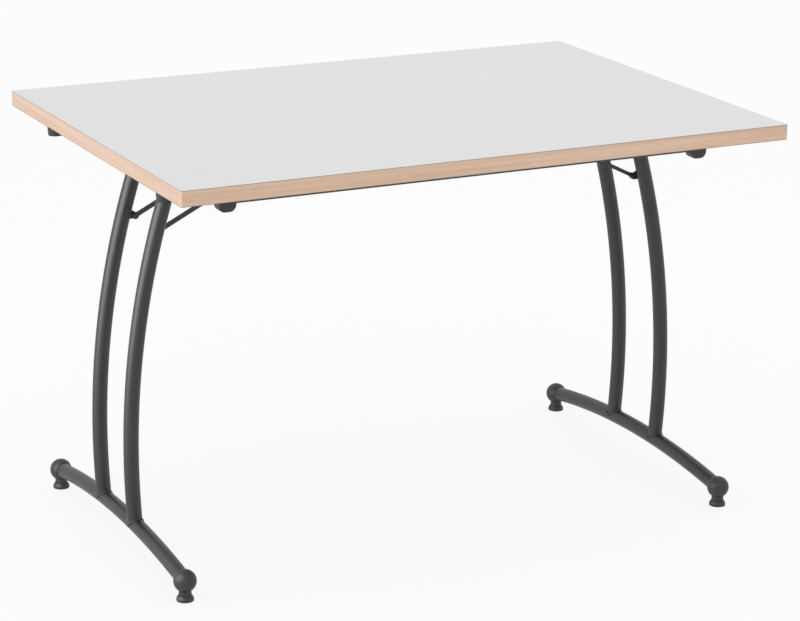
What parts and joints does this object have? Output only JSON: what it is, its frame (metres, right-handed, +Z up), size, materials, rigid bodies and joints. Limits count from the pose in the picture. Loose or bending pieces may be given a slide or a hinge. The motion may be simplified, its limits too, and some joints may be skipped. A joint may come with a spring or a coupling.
{
  "type": "folding laminate table",
  "caption": "Rectangular laminate-topped table with a solid wood edge; bowed double-tube leg frames with ball-capped feet and levellers fold in under the top on sliding stays.",
  "frame": {"origin": "on the floor under the middle of the table top", "axes": "+X along the length of the top, +Y towards the rear long edge, +Z up"},
  "size_m": [1.15, 0.8, 0.74],
  "materials": {
    "laminate": "satin high-pressure laminate",
    "backing": "matt backing laminate",
    "particle_board": "pressed wood chips",
    "beech": "clear satin varnish",
    "black_steel": "fine black powder coat",
    "black_plastic": "moulded, fine texture",
    "nylon": "natural nylon",
    "rubber": "matt",
    "zinc": "bright zinc plate",
    "spring_steel": "blued spring steel"
  },
  "bodies": {
    "top": {"backing_laminate": "backing", "buffer_screws": "zinc", "clip_rivets": "zinc", "core_panel": "particle_board", "guide_screws": "zinc", "hinge_block_left_front": "black_plastic", "hinge_block_left_rear": "black_plastic", "hinge_block_right_front": "black_plastic", "hinge_block_right_rear": "black_plastic", "hinge_block_screws": "zinc", "lipping_front": "beech", "lipping_left": "beech", "lipping_rear": "beech", "lipping_right": "beech", "rail_front": "black_steel", "rail_rear": "black_steel", "rail_screws": "zinc", "snap_clips_left": "spring_steel", "snap_clips_right": "spring_steel", "stacking_buffers": "rubber", "stay_guide_left": "black_steel", "stay_guide_right": "black_steel", "top_laminate": "laminate"},
    "leg_left": {"foot_cap_left_front": "black_plastic", "foot_cap_left_rear": "black_plastic", "foot_inserts_left": "zinc", "foot_tube_left": "black_steel", "pivot_tube_left": "black_steel", "stay_lugs_left": "black_steel", "stay_pins_left": "black_steel", "upright_left_front": "black_steel", "upright_left_rear": "black_steel"},
    "leg_right": {"foot_cap_right_front": "black_plastic", "foot_cap_right_rear": "black_plastic", "foot_inserts_right": "zinc", "foot_tube_right": "black_steel", "pivot_tube_right": "black_steel", "stay_lugs_right": "black_steel", "stay_pins_right": "black_steel", "upright_right_front": "black_steel", "upright_right_rear": "black_steel"},
    "stay_left": {"slide_sleeves_left": "nylon", "stay_arm_left_front": "black_steel", "stay_arm_left_rear": "black_steel", "stay_crossbar_left": "black_steel"},
    "stay_right": {"slide_sleeves_right": "nylon", "stay_arm_right_front": "black_steel", "stay_arm_right_rear": "black_steel", "stay_crossbar_right": "black_steel"},
    "leveller_left_front": {"leveller_pad_left_front": "black_plastic", "leveller_stem_left_front": "zinc"},
    "leveller_left_rear": {"leveller_pad_left_rear": "black_plastic", "leveller_stem_left_rear": "zinc"},
    "leveller_right_front": {"leveller_pad_right_front": "black_plastic", "leveller_stem_right_front": "zinc"},
    "leveller_right_rear": {"leveller_pad_right_rear": "black_plastic", "leveller_stem_right_rear": "zinc"}
  },
  "joints": [
    {"name": "leg_fold_left", "type": "hinge", "parent": "top", "child": "leg_left", "pos_m": [-0.454, 0, 0.69], "axis": [0, -1, 0], "range_deg": [0, 93.5]},
    {"name": "stay_turn_left", "type": "hinge", "parent": "leg_left", "child": "stay_left", "pos_m": [-0.47387, 0, 0.57839], "axis": [0, -1, 0], "range_deg": [-115, 0]},
    {"name": "leveller_left_front_screw", "type": "slide", "parent": "leg_left", "child": "leveller_left_front", "axis": [0, 0, 1], "range_m": [-0.012, 0]},
    {"name": "leveller_left_rear_screw", "type": "slide", "parent": "leg_left", "child": "leveller_left_rear", "axis": [0, 0, 1], "range_m": [-0.012, 0]},
    {"name": "leg_fold_right", "type": "hinge", "parent": "top", "child": "leg_right", "pos_m": [0.454, 0, 0.69], "axis": [0, 1, 0], "range_deg": [0, 89.5]},
    {"name": "stay_turn_right", "type": "hinge", "parent": "leg_right", "child": "stay_right", "pos_m": [0.47387, 0, 0.57839], "axis": [0, 1, 0], "range_deg": [-115, 0]},
    {"name": "leveller_right_front_screw", "type": "slide", "parent": "leg_right", "child": "leveller_right_front", "axis": [0, 0, 1], "range_m": [-0.012, 0]},
    {"name": "leveller_right_rear_screw", "type": "slide", "parent": "leg_right", "child": "leveller_right_rear", "axis": [0, 0, 1], "range_m": [-0.012, 0]}
  ],
  "couplings": [
    {"joint": "stay_turn_left", "follows": "leg_fold_left", "ratio": -1.2263},
    {"joint": "stay_turn_right", "follows": "leg_fold_right", "ratio": -1.2263}
  ]
}
